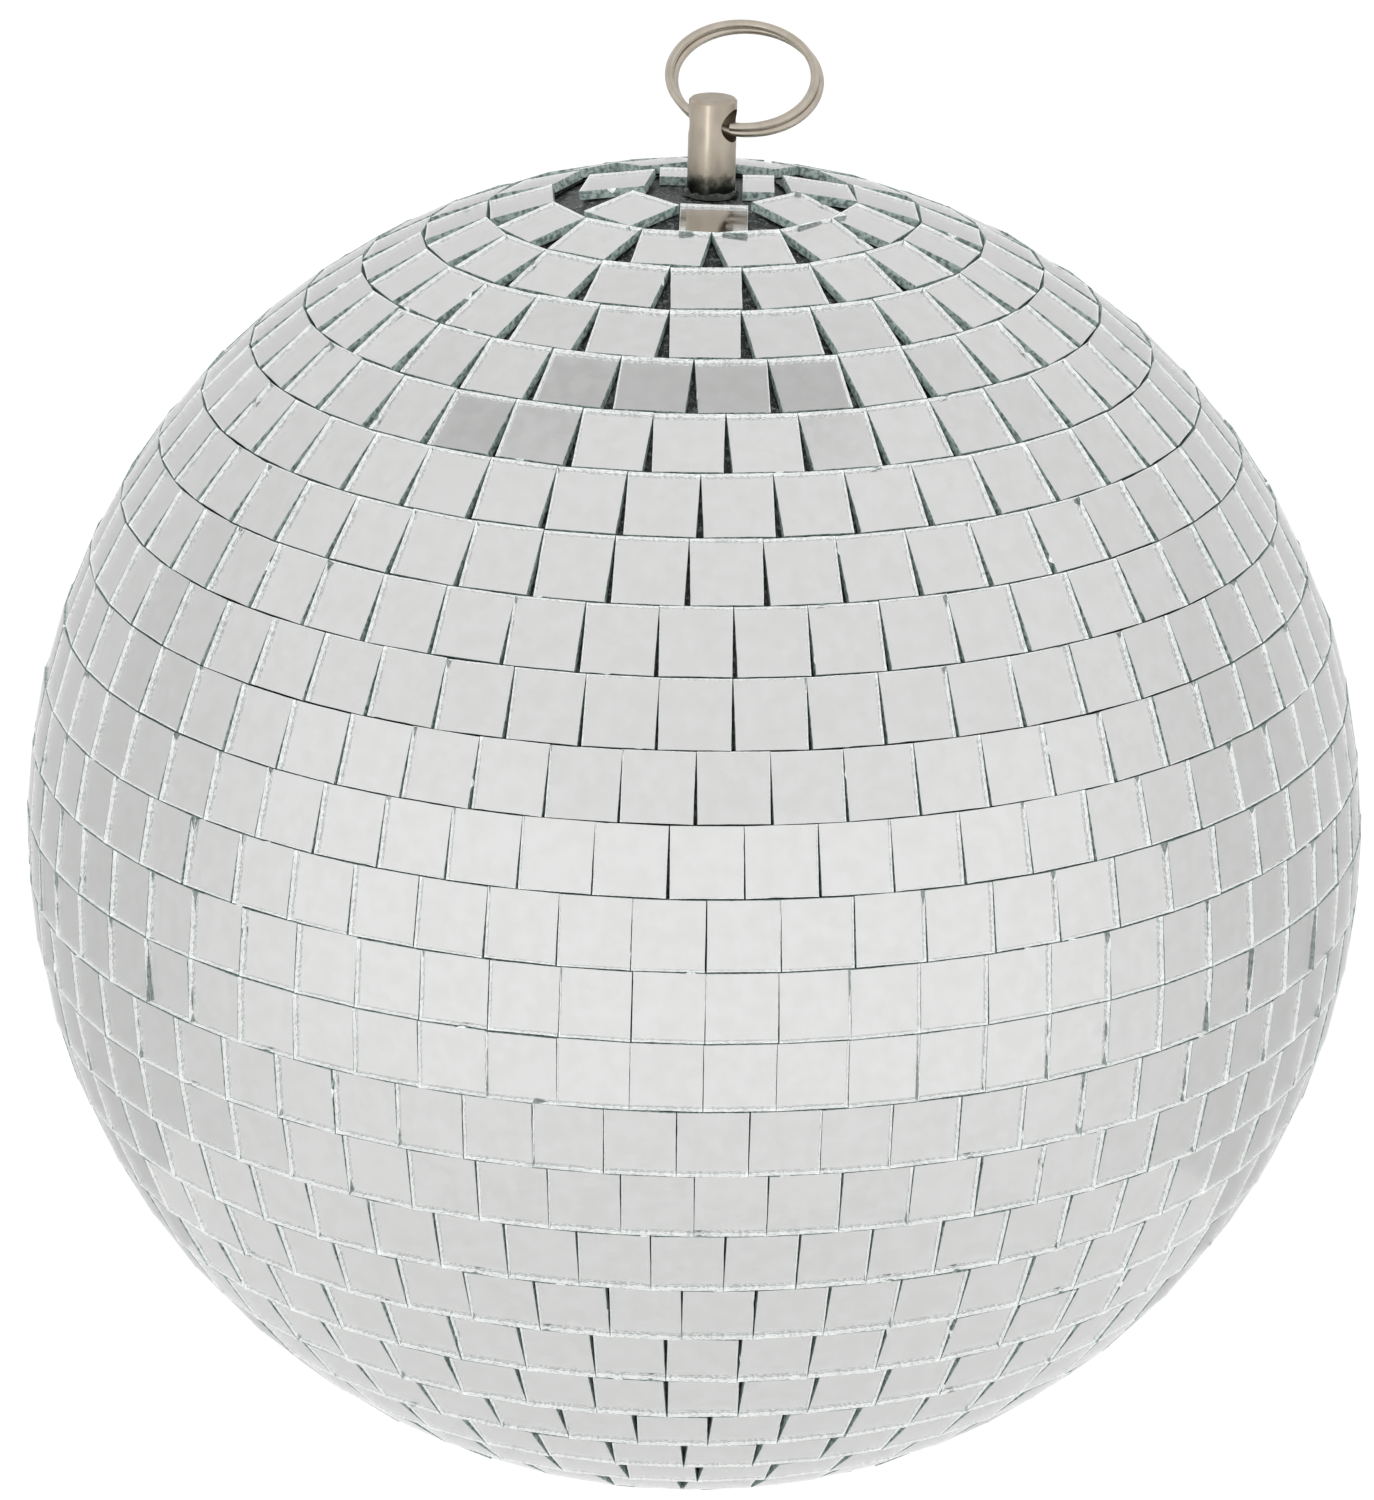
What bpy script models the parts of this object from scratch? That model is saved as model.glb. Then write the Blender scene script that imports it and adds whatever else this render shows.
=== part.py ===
"""A 200 mm mirror ball: a hollow plastic ball in two halves, 29 rows of square mirror tiles,
and a steel hanging pin whose cross hole carries a split ring.

Everything is in metres, +Z up. The origin is the centre of the pin's cross hole, which the
ball hangs from. The ball's centre lies straight below it, and its front is towards -Y.
"""

import math

import bmesh
import bpy
from mathutils import Matrix, Vector

MM = 0.001
MERGE_DISTANCE = 1e-5  # for the points of a turned profile that lie on its axis
PIN_STEPS = 32
WASHER_STEPS = 40
SMALL_STEPS = 24  # of the sealant and of the nut's bore

# The ball and its rows. Row 1 is at the top, and the middle row lies on the equator.
BALL_RADIUS = 100 * MM  # to the edges of the tiles
ROW_COUNT = 29
ROW_ANGLE = 0.1  # radians at the ball's centre: 10 mm along the surface
ROW_GAP = 0.32 * MM
TILE_WIDTH = 9.7 * MM
TILE_PITCH = 9.85 * MM  # a row holds as many tiles of this pitch as its shorter edge takes
TILE_BACK_RADIUS = 98.25 * MM  # inner side of the strip that the tiles are stuck to
STRIP_THICKNESS = 0.7 * MM  # of that strip, where the tiles on it stand apart
STRIP_INSET = 0.2 * MM  # by which the strip is narrower than its tiles on each side
TILE_SINK = 0.25 * MM  # overlap of a separate tile with its strip, before they are joined
APART_ROWS = 3  # rows from each pole whose tiles stand apart with open wedges between them
TILE_AXIS_LEAN = (math.radians(-0.6), math.radians(-0.55), 0)  # of the rows off the pin

# Where a joint between two tiles falls in each row, from the front, in degrees towards +X.
JOINT_DEGREES = (
    -22.2, 3.1, -8.0, -6.2, -1.0, 3.6, 0.3, -0.8, 3.7, 3.5,
    0.3, -1.8, 1.3, 1.3, 1.2, -0.8, 0.7, 3.3, -0.2, -1.6,
    -1.6, 2.8, 0.2, 2.1, 0.0, 4.0, -3.0, 6.0, 0.0,
)

# The hollow ball that carries the rows.
CORE_RADIUS = 97.7 * MM
CORE_WALL = 2 * MM
CORE_STEPS = 36
CORE_ARC_PARTS = 8
HUB_FLAT_RADIUS = 8 * MM
HUB_PAD_RADIUS = 18 * MM
HUB_HOLE_RADIUS = 3.3 * MM
SHELL_GAP = 0.3 * MM
COLLAR_RISE = 6 * MM
COLLAR_DROP = 7 * MM
COLLAR_WALL = 1.6 * MM
COLLAR_CLEARANCE = 1.1 * MM

# The pin, its cross hole, and what clamps it to the shell.
HOLE_HEIGHT = 108.2 * MM  # above the ball's centre
PIN_RADIUS = 3.5 * MM
PIN_ABOVE_HOLE = 3.7 * MM
PIN_CHAMFER = 0.35 * MM
HOLE_RADIUS = 2.4 * MM
HOLE_TURN = math.radians(-25.5)  # the hole's axis about +Z, from +X
SHANK_RADIUS = 2.95 * MM
SHANK_LENGTH = 13.5 * MM
WASHER_HOLE_RADIUS = 3.3 * MM
BACKING_WASHER_RADIUS = 15 * MM
BACKING_WASHER_THICKNESS = 1.6 * MM
LOCK_WASHER_RADIUS = 5.4 * MM
LOCK_WASHER_THICKNESS = 1.6 * MM
LOCK_WASHER_SLIT = 1.2 * MM
NUT_FLATS = 10 * MM
NUT_HEIGHT = 5 * MM
SEALANT_RADIUS = 4.3 * MM
SEALANT_TOP_RADIUS = 4.0 * MM
SEALANT_HEIGHT = 1.0 * MM
FIT_GAP = 0.3 * MM

# Loose tiles: one at the bottom, and two cut ones beside the pin.
LOOSE_TILE_THICKNESS = 1.1 * MM
FILLER_RIGHT = ((4.6, -2.8), (9.2, 6.9))  # corners in millimetres from the pin's axis
FILLER_BACK = ((-7.5, 4.7), (2.2, 10.0))

# The split ring: two turns of round wire lying on each other.
RING_RADIUS = 10.6 * MM  # to the wire's centre
RING_WIRE_RADIUS = 0.65 * MM
RING_TURN_PITCH = 1.4 * MM
RING_TURN_SHIFT = 0.35 * MM  # by which each turn sits to one side of the middle
RING_SEAT = -0.3 * MM  # the wire's middle in the hole, towards the ring's centre
RING_RISE = math.radians(31)  # of the ring's plane above the horizontal, towards +Y
RING_SLANT = math.radians(25.7)  # of the wire in the hole, within that plane, from +X
RING_STEP = 1.5 * math.pi - RING_SLANT  # from +X to where the wire steps over, in the hole
RING_STEP_WIDTH = math.radians(28)
RING_END_MARGIN = math.radians(3)  # between the step and each end of the wire
RING_POINTS = 68

FRONT = math.radians(-90)
TOP_POLAR_ANGLE = (math.pi - ROW_COUNT * ROW_ANGLE) / 2


# ---------------------------------------------------------------- helpers


def clear_scene():
    for obj in list(bpy.data.objects):
        bpy.data.objects.remove(obj)


def new_collection(name):
    collection = bpy.data.collections.new(name)
    bpy.context.scene.collection.children.link(collection)
    return collection


def new_material(name, color, metallic, roughness):
    material = bpy.data.materials.new(name)
    material.use_nodes = True
    shader = material.node_tree.nodes["Principled BSDF"]
    shader.inputs["Base Color"].default_value = (*color, 1)
    shader.inputs["Metallic"].default_value = metallic
    shader.inputs["Roughness"].default_value = roughness
    return material


def new_object(name, data, parent, material=None):
    """A visible part if it has a material, and otherwise a cutter."""
    obj = bpy.data.objects.new(name, data)
    obj.parent = parent
    if material:
        parts.objects.link(obj)
        data.materials.append(material)
    else:
        cutters.objects.link(obj)
        obj.hide_render = True
        obj.display_type = "WIRE"
    return obj


def mesh_of(bm, name):
    mesh = bpy.data.meshes.new(name)
    bm.to_mesh(mesh)
    bm.free()
    return mesh


def turned(name, profile, steps, parent, material=None, closed=True, turn=0.0):
    """Turns a profile of (radius, height) points, which runs down its outer side, about Z."""
    bm = bmesh.new()
    points = [bm.verts.new((radius, 0, height)) for radius, height in profile]
    for first, second in zip(points, points[1:] + points[:1] if closed else points[1:]):
        bm.edges.new((first, second))
    obj = new_object(name, mesh_of(bm, name), parent, material)
    obj.rotation_euler.z = turn
    screw = obj.modifiers.new("Turn", "SCREW")
    screw.steps = steps
    screw.render_steps = steps
    screw.use_merge_vertices = True
    screw.merge_threshold = MERGE_DISTANCE
    screw.use_smooth_shade = False
    return obj


def solid_box(bm, low, high, place=None):
    """Adds a box between two corners to a bmesh, moved by the matrix place."""
    low, high = Vector(low), Vector(high)
    size = Matrix.Diagonal((*(high - low), 1))
    matrix = Matrix.Translation((low + high) / 2) @ size
    bmesh.ops.create_cube(bm, size=1, matrix=place @ matrix if place else matrix)


def solid_cylinder(name, radius, depth, sides, parent, material=None):
    bm = bmesh.new()
    bmesh.ops.create_cone(
        bm, cap_ends=True, segments=sides, radius1=radius, radius2=radius, depth=depth
    )
    return new_object(name, mesh_of(bm, name), parent, material)


def combine(obj, other, operation):
    modifier = obj.modifiers.new(other.name, "BOOLEAN")
    modifier.operation = operation
    modifier.solver = "EXACT"
    modifier.object = other


def arc(radius, start, end, count):
    """Points of a circle about the ball's centre, from one polar angle to another."""
    angles = [start + (end - start) * i / count for i in range(count + 1)]
    return [(radius * math.sin(a), radius * math.cos(a)) for a in angles]


# ---------------------------------------------------------------- rows of tiles


def row_angles(row):
    """(nearer, further) polar angle of a row's edges from its own pole, less half the gap."""
    start = TOP_POLAR_ANGLE + (row - 1) * ROW_ANGLE
    end = start + ROW_ANGLE
    if row > (ROW_COUNT + 1) // 2:
        start, end = math.pi - end, math.pi - start
    half_gap = ROW_GAP / 2 / BALL_RADIUS
    return start + half_gap, end - half_gap


def tile_count(row):
    return int(math.tau * BALL_RADIUS * math.sin(row_angles(row)[0]) / TILE_PITCH)


def band_profile(row, inner, outer, inset=0.0):
    """Section of a row's faceted ring where two facets meet.

    Its edge nearer the pole is placed by the middle of a facet and its other edge by the
    corners, so that rows with different facets stay clear of each other.
    """
    near, far = row_angles(row)
    near += inset / BALL_RADIUS
    far -= inset / BALL_RADIUS
    spread = 1 / math.cos(math.pi / tile_count(row))
    profile = [
        (outer * math.sin(near) * spread, outer * math.cos(near)),
        (outer * math.sin(far), outer * math.cos(far)),
        (inner * math.sin(far), inner * math.cos(far)),
        (inner * math.sin(near) * spread, inner * math.cos(near)),
    ]
    if row > (ROW_COUNT + 1) // 2:
        profile = [(radius, -height) for radius, height in reversed(profile)]
    return profile


def tile_blocks(row):
    """Separate square tiles for a row near a pole, as one bmesh."""
    near, far = row_angles(row)
    middle = (near + far) / 2
    side = -1 if row > (ROW_COUNT + 1) // 2 else 1
    face = BALL_RADIUS * math.cos((far - near) / 2)
    corner_radius = BALL_RADIUS * math.sin(far)
    edge_radius = math.sqrt(corner_radius**2 - (TILE_WIDTH / 2) ** 2)
    to_pole = face * math.tan((far - near) / 2)
    from_pole = to_pole - (corner_radius - edge_radius) / math.cos(middle)
    floor = TILE_BACK_RADIUS + STRIP_THICKNESS - TILE_SINK

    normal = Vector((math.sin(middle), 0, side * math.cos(middle)))
    poleward = Vector((-math.cos(middle), 0, side * math.sin(middle)))
    across = poleward.cross(normal)
    place = Matrix((across, poleward, normal)).transposed().to_4x4()

    bm = bmesh.new()
    count = tile_count(row)
    for i in range(count):
        turn = Matrix.Rotation((i + 0.5) * math.tau / count, 4, "Z")
        low = (-TILE_WIDTH / 2, -from_pole, floor)
        high = (TILE_WIDTH / 2, to_pole, face)
        solid_box(bm, low, high, turn @ place)
    return bm


def add_row(row, parent, material):
    name = f"mirror_row_{row:02d}"
    turn = FRONT + math.radians(JOINT_DEGREES[row - 1])
    count = tile_count(row)
    if APART_ROWS < row <= ROW_COUNT - APART_ROWS:
        profile = band_profile(row, TILE_BACK_RADIUS, BALL_RADIUS)
        turned(name, profile, count, parent, material, turn=turn)
        return
    strip_outside = TILE_BACK_RADIUS + STRIP_THICKNESS
    profile = band_profile(row, TILE_BACK_RADIUS, strip_outside, STRIP_INSET)
    strip = turned(name, profile, count, parent, material, turn=turn)
    tiles_name = name + "_tiles"
    tiles = new_object(tiles_name, mesh_of(tile_blocks(row), tiles_name), parent)
    tiles.rotation_euler.z = turn
    combine(strip, tiles, "UNION")


def add_loose_tile(name, low, high, parent, material):
    bm = bmesh.new()
    solid_box(bm, low, high)
    new_object(name, mesh_of(bm, name), parent, material)


def add_loose_tiles(parent, tile_axis, material):
    half = TILE_WIDTH / 2
    bottom = -BALL_RADIUS * math.cos(ROW_ANGLE / 2)
    top = -CORE_RADIUS - 2 * FIT_GAP
    low, high = (-half, -half, bottom), (half, half, top)
    add_loose_tile("bottom_tile", low, high, tile_axis, material)
    base = CORE_RADIUS
    for name, (low, high) in (
        ("filler_tile_right", FILLER_RIGHT),
        ("filler_tile_back", FILLER_BACK),
    ):
        low = (low[0] * MM, low[1] * MM, base)
        high = (high[0] * MM, high[1] * MM, base + LOOSE_TILE_THICKNESS)
        add_loose_tile(name, low, high, parent, material)


# ---------------------------------------------------------------- hollow core


def hub_height():
    """Height of the flat on top of the upper shell."""
    return math.sqrt(CORE_RADIUS**2 - HUB_FLAT_RADIUS**2)


def pad_height():
    """Height of the flat inside the top of the upper shell."""
    return math.sqrt((CORE_RADIUS - CORE_WALL) ** 2 - HUB_PAD_RADIUS**2)


def add_upper_shell(parent, material):
    inside = CORE_RADIUS - CORE_WALL
    rim = SHELL_GAP / 2
    outer_rim = math.pi / 2 - rim / CORE_RADIUS
    inner_rim = math.pi / 2 - rim / inside
    profile = [(HUB_HOLE_RADIUS, hub_height())]
    profile += arc(
        CORE_RADIUS,
        math.asin(HUB_FLAT_RADIUS / CORE_RADIUS),
        outer_rim,
        CORE_ARC_PARTS,
    )
    profile += arc(
        inside, inner_rim, math.asin(HUB_PAD_RADIUS / inside), CORE_ARC_PARTS
    )
    profile.append((HUB_HOLE_RADIUS, pad_height()))
    turned("upper_half_shell", profile, CORE_STEPS, parent, material)


def add_lower_shell(parent, material):
    inside = CORE_RADIUS - CORE_WALL
    rim = -SHELL_GAP / 2
    collar_outside = inside - COLLAR_CLEARANCE
    collar_inside = collar_outside - COLLAR_WALL
    outer_rim = math.pi / 2 - rim / CORE_RADIUS
    collar_foot = math.pi / 2 + math.asin(COLLAR_DROP / inside)
    profile = arc(inside, math.pi, collar_foot, CORE_ARC_PARTS)
    profile += [
        (collar_inside, COLLAR_WALL - COLLAR_DROP),
        (collar_inside, COLLAR_RISE),
        (collar_outside, COLLAR_RISE),
        (collar_outside, rim),
    ]
    profile += arc(CORE_RADIUS, outer_rim, math.pi, CORE_ARC_PARTS)
    turned("lower_half_shell", profile, CORE_STEPS, parent, material, closed=False)


# ---------------------------------------------------------------- pin and fastening


def add_hanging_pin(parent, material):
    top = HOLE_HEIGHT + PIN_ABOVE_HOLE
    shoulder = hub_height() + FIT_GAP
    profile = [
        (0, top),
        (PIN_RADIUS - PIN_CHAMFER, top),
        (PIN_RADIUS, top - PIN_CHAMFER),
        (PIN_RADIUS, shoulder),
        (SHANK_RADIUS, shoulder),
        (SHANK_RADIUS, shoulder - SHANK_LENGTH + PIN_CHAMFER),
        (SHANK_RADIUS - PIN_CHAMFER, shoulder - SHANK_LENGTH),
        (0, shoulder - SHANK_LENGTH),
    ]
    pin = turned("hanging_pin", profile, PIN_STEPS, parent, material, closed=False)
    hole_length = 4 * PIN_RADIUS
    hole = solid_cylinder("pin_cross_hole", HOLE_RADIUS, hole_length, PIN_STEPS, parent)
    hole.location.z = HOLE_HEIGHT
    hole.rotation_euler = (0, math.pi / 2, HOLE_TURN)
    combine(pin, hole, "DIFFERENCE")


def washer_profile(inner, outer, low, high):
    """Section of a flat washer."""
    return [(outer, high), (outer, low), (inner, low), (inner, high)]


def add_sealant(parent, material):
    inner = PIN_RADIUS + FIT_GAP
    low = hub_height() + FIT_GAP
    high = low + SEALANT_HEIGHT
    profile = [
        (SEALANT_TOP_RADIUS, high),
        (SEALANT_TOP_RADIUS, low + SEALANT_HEIGHT / 2),
        (SEALANT_RADIUS, low),
        (inner, low),
        (inner, high),
    ]
    turned("pin_sealant", profile, SMALL_STEPS, parent, material)


def add_fasteners(parent, material):
    """The washers and the nut under the top of the shell, from the top down."""
    top = pad_height() - FIT_GAP
    low = top - BACKING_WASHER_THICKNESS
    profile = washer_profile(WASHER_HOLE_RADIUS, BACKING_WASHER_RADIUS, low, top)
    turned("backing_washer", profile, WASHER_STEPS, parent, material)

    top = low - FIT_GAP
    low = top - LOCK_WASHER_THICKNESS
    profile = washer_profile(WASHER_HOLE_RADIUS, LOCK_WASHER_RADIUS, low, top)
    lock_washer = turned("lock_washer", profile, WASHER_STEPS, parent, material)
    bm = bmesh.new()
    slit = LOCK_WASHER_SLIT / 2
    reach = 2 * LOCK_WASHER_RADIUS
    solid_box(bm, (0, -slit, low - slit), (reach, slit, top + slit))
    cut = new_object("lock_washer_slit", mesh_of(bm, "lock_washer_slit"), parent)
    combine(lock_washer, cut, "DIFFERENCE")

    top = low - FIT_GAP
    corner_radius = NUT_FLATS / 2 / math.cos(math.pi / 6)
    nut = solid_cylinder("hex_nut", corner_radius, NUT_HEIGHT, 6, parent, material)
    bore_length = 2 * NUT_HEIGHT
    bore = solid_cylinder(
        "hex_nut_bore", WASHER_HOLE_RADIUS, bore_length, SMALL_STEPS, parent
    )
    nut.location.z = bore.location.z = top - NUT_HEIGHT / 2
    combine(nut, bore, "DIFFERENCE")


# ---------------------------------------------------------------- split ring


def smooth_step(x):
    x = min(max(x, 0.0), 1.0)
    return x * x * (3 - 2 * x)


def ring_points():
    """The wire's centre line: two turns that lie on each other, joined by a short step.

    The step and both ends lie within the pin's hole and just beside it.
    """
    right = Vector((1, 0, 0))
    back = Vector((0, math.cos(RING_RISE), math.sin(RING_RISE)))
    normal = right.cross(back)
    outward = math.sin(RING_SLANT) * right + math.cos(RING_SLANT) * back
    centre = outward * (RING_RADIUS + RING_SEAT)
    reach = math.tau - RING_STEP_WIDTH / 2 - RING_END_MARGIN
    points = []
    for i in range(RING_POINTS + 1):
        past_step = reach * (2 * i / RING_POINTS - 1)
        level = 2 * smooth_step(past_step / RING_STEP_WIDTH + 0.5) - 1
        angle = RING_STEP + past_step
        around = right * math.cos(angle) + back * math.sin(angle)
        offset = right * RING_TURN_SHIFT - normal * (RING_TURN_PITCH / 2)
        points.append(centre + around * RING_RADIUS + level * offset)
    return points


def add_split_ring(parent, material):
    curve = bpy.data.curves.new("split_ring", "CURVE")
    curve.dimensions = "3D"
    curve.bevel_depth = RING_WIRE_RADIUS
    curve.bevel_resolution = 2
    curve.use_fill_caps = True
    points = ring_points()
    spline = curve.splines.new("POLY")
    spline.points.add(len(points) - 1)
    for target, point in zip(spline.points, points):
        target.co = (*point, 1)
    new_object("split_ring", curve, parent, material)


# ---------------------------------------------------------------- the whole ball

clear_scene()
parts = new_collection("mirror_ball")
cutters = new_collection("cutters")

mirror = new_material("mirror_glass", (0.80, 0.82, 0.82), 1.0, 0.06)
black_plastic = new_material("black_plastic", (0.03, 0.03, 0.03), 0.0, 0.5)
nickel = new_material("nickel_steel", (0.60, 0.56, 0.51), 1.0, 0.3)
zinc = new_material("zinc_steel", (0.55, 0.56, 0.58), 1.0, 0.4)
sealant = new_material("black_sealant", (0.02, 0.022, 0.02), 0.0, 0.35)

ball = bpy.data.objects.new("ball_centre", None)
ball.location.z = -HOLE_HEIGHT
tile_axis = bpy.data.objects.new("tile_axis", None)
tile_axis.parent = ball
tile_axis.rotation_euler = TILE_AXIS_LEAN
ring = bpy.data.objects.new("ring_swing_axis", None)
ring.rotation_euler.z = HOLE_TURN
for empty in (ball, tile_axis, ring):
    parts.objects.link(empty)
bpy.context.view_layer.update()

for row_number in range(1, ROW_COUNT + 1):
    add_row(row_number, tile_axis, mirror)
add_loose_tiles(ball, tile_axis, mirror)
add_upper_shell(ball, black_plastic)
add_lower_shell(ball, black_plastic)
add_hanging_pin(ball, nickel)
add_sealant(ball, sealant)
add_fasteners(ball, zinc)
add_split_ring(ring, nickel)
bpy.data.objects["split_ring"].matrix_parent_inverse = ring.matrix_world.inverted()
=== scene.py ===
"""Looks of a 200 mm mirror ball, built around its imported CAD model.

Every row of mirror tiles is made again tile by tile: a slab of clear glass with a silvered back
and snapped white edges, on a dark strip. Everything is in metres, in the CAD model's own frame.
"""

import cmath
import math
import random

import bmesh
import bpy
from mathutils import Euler, Matrix, Vector


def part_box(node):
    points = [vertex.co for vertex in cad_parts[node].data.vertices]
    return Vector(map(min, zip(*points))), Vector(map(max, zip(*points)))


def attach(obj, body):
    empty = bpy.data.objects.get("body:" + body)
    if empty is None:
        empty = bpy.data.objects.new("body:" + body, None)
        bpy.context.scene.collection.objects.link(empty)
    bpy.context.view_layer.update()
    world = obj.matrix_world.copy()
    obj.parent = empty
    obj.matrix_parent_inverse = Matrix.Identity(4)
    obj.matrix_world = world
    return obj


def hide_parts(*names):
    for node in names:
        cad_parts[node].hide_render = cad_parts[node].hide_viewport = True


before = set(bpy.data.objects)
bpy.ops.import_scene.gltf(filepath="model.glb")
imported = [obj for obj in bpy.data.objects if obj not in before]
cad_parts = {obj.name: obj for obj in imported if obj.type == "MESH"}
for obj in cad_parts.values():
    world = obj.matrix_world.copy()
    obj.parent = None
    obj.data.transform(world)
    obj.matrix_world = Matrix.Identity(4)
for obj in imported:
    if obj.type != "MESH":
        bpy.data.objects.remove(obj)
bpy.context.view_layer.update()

MM = 0.001

# The ball and its rows, as in the CAD model. Row 1 is at the top.
CAD_BALL_RADIUS = 100 * MM
BALL_RADIUS = 99.9 * MM  # a little less, to stay within the CAD model
ROW_NODES = sorted(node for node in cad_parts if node.startswith("mirror_row_"))
ROW_COUNT = len(ROW_NODES)
ROW_ANGLE = 0.1
CAD_ROW_GAP = 0.32 * MM
ROW_GAP = 0.15 * MM
JOINT_GAP = 0.04 * MM
TILE_PITCH = 9.85 * MM
STRIP_INNER_RADIUS = 98.0 * MM
STRIP_OUTER_RADIUS = 98.2 * MM
STRIP_INSET = 0.2 * MM
TOP_POLAR_ANGLE = (math.pi - ROW_COUNT * ROW_ANGLE) / 2
MIDDLE_ROW = (ROW_COUNT + 1) // 2
HOLE_HEIGHT = 108.2 * MM  # of the pin's cross hole, the origin, above the ball's centre
CENTRE = Vector((0, 0, -HOLE_HEIGHT))
ROWS_LEAN = Euler((math.radians(-0.6), math.radians(-0.55), 0))
ROWS_PLACE = Matrix.Translation(CENTRE) @ ROWS_LEAN.to_matrix().to_4x4()

# One tile.
TILE_WIDTH = 9.7 * MM
WIDEST_TILE = 10.0 * MM
TILE_THICKNESS = 1.3 * MM
EDGE_POINTS = 7  # along each side of a tile
EDGE_WAVER = 0.018 * MM
CHIP_SHARE = 0.02
CHIP_DEPTH = 0.09 * MM
SILVER_INSET = 0.05 * MM
TILT = math.radians(0.45)
TWIST = math.radians(0.25)
TILE_SHIFT = 0.025 * MM
TILE_SINK = 0.05 * MM

# Row 1 is laid by hand: (x, y) of each tile's centre and its turn in degrees, from the pin.
HAND_LAID = (
    (0.5, -16.2, 0.0),
    (12.75, -9.7, 46.0),
    (15.8, 2.0, 97.0),
    (6.7, 16.2, 158.0),
    (-7.6, 16.4, 206.0),
    (-13.7, 2.4, 262.0),
    (-11.35, -11.6, -46.0),
)

# The split ring, as in the CAD model.
RING_RADIUS = 10.6 * MM
RING_WIRE_RADIUS = 0.645 * MM
RING_TURN_PITCH = 1.12 * MM  # the turns touch, where the CAD model leaves a slit
RING_TURN_SHIFT = 0.35 * MM
RING_SEAT = -0.3 * MM
RING_RISE = math.radians(31)
RING_SLANT = math.radians(25.7)
RING_STEP = 1.5 * math.pi - RING_SLANT
RING_STEP_WIDTH = math.radians(28)
RING_END_MARGIN = math.radians(3)
RING_POINTS = 300
MERGE_DISTANCE = 1e-6

# The pin, the shells and what clamps them, as in the CAD model but turned finer.
CORE_RADIUS = 97.7 * MM
CORE_WALL = 2 * MM
CORE_STEPS = 144
CORE_ARC_PARTS = 40
HUB_FLAT_RADIUS = 8 * MM
HUB_PAD_RADIUS = 18 * MM
HUB_HOLE_RADIUS = 3.3 * MM
SHELL_GAP = 0.3 * MM
COLLAR_RISE = 6 * MM
COLLAR_DROP = 7 * MM
COLLAR_WALL = 1.6 * MM
COLLAR_CLEARANCE = 1.1 * MM
PIN_RADIUS = 3.5 * MM
PIN_ABOVE_HOLE = 3.7 * MM
PIN_CHAMFER = 0.35 * MM
HOLE_RADIUS = 2.4 * MM
HOLE_TURN = math.radians(-25.5)
SHANK_RADIUS = 2.95 * MM
SHANK_LENGTH = 13.5 * MM
THREAD_PITCH = 1.0 * MM
THREAD_DEPTH = 0.45 * MM
FINE_STEPS = 96
FIT_GAP = 0.3 * MM
NUT_FLATS = 10 * MM
NUT_CHAMFER = math.radians(30)
WASHER_BEVEL = 0.15 * MM
LOCK_WASHER_SLIT = 1.2 * MM
SEALANT_CLEARANCE = 0.02 * MM
SEALANT_WAVES = 7

# The camera: its distance and height angle from the ball's centre, and how it is held.
CAMERA_DISTANCE = 0.9
CAMERA_ELEVATION = math.radians(20.9)
CAMERA_LENS = 143.3
CAMERA_SENSOR = 36
CAMERA_TILT = math.radians(0.693)
CAMERA_PAN = math.radians(0.07)
CAMERA_ROLL = math.radians(1.5)

FLOOR_DROP = 0.3  # below the ball
FLOOR_RADIUS = 0.5

# The studio light, as strengths added to or taken from its level in parts of the sky.
LIGHT_LEVEL = 0.985
FRONT_GAIN = 0.115
BEAM_LOSS = 0.28
BACK_LOSS = 0.11
SIDES_LOSS = 0.12
UPPER_BACK_GAIN = 0.08
SCATTERED_GAIN = 0.42  # more light for matt surfaces than mirrors show
BACKGROUND_LEVEL = 1.05  # the least that the camera sees behind the ball

SOFTBOX_DISTANCE = 0.7
SOFTBOX_WIDTH = 0.12
SOFTBOX_HEIGHT = 0.5
SOFTBOX_POWER = 0.36  # watts
SOFTBOX_TURN = math.radians(-23)
SOFTBOX_DROP = math.radians(18)

SLOT_GLASS = "mirror_glass"
SLOT_PLASTIC = "black_plastic"
SLOT_NICKEL = "nickel_steel"
SLOT_ZINC = "zinc_steel"
SLOT_SEALANT = "black_sealant"


# ---------------------------------------------------------------- materials


def add_node(tree, kind, inputs=None, **settings):
    """A new node. Its inputs are given as numbers, colours or sockets to link."""
    node = tree.nodes.new(kind)
    for name, value in settings.items():
        setattr(node, name, value)
    for name, value in (inputs or {}).items():
        if isinstance(value, bpy.types.NodeSocket):
            tree.links.new(value, node.inputs[name])
        else:
            node.inputs[name].default_value = value
    return node


def new_material(name, **sockets):
    """A Principled material, its node tree, its shader and its object coordinates."""
    material = bpy.data.materials.new(name)
    material.use_nodes = True
    tree = material.node_tree
    shader = tree.nodes["Principled BSDF"]
    for socket, value in sockets.items():
        shader.inputs[socket.replace("_", " ")].default_value = value
    place = add_node(tree, "ShaderNodeTexCoord").outputs["Object"]
    return material, tree, shader, place


def noise(tree, place, per_mm, detail=3.0, stretch=(1, 1, 1)):
    """Noise of a scale given in grains per millimetre."""
    if stretch != (1, 1, 1):
        mapping = add_node(tree, "ShaderNodeMapping", {"Vector": place, "Scale": stretch})
        place = mapping.outputs["Vector"]
    texture = add_node(
        tree, "ShaderNodeTexNoise", {"Vector": place, "Scale": per_mm / MM, "Detail": detail}
    )
    return texture.outputs["Fac"]


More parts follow.
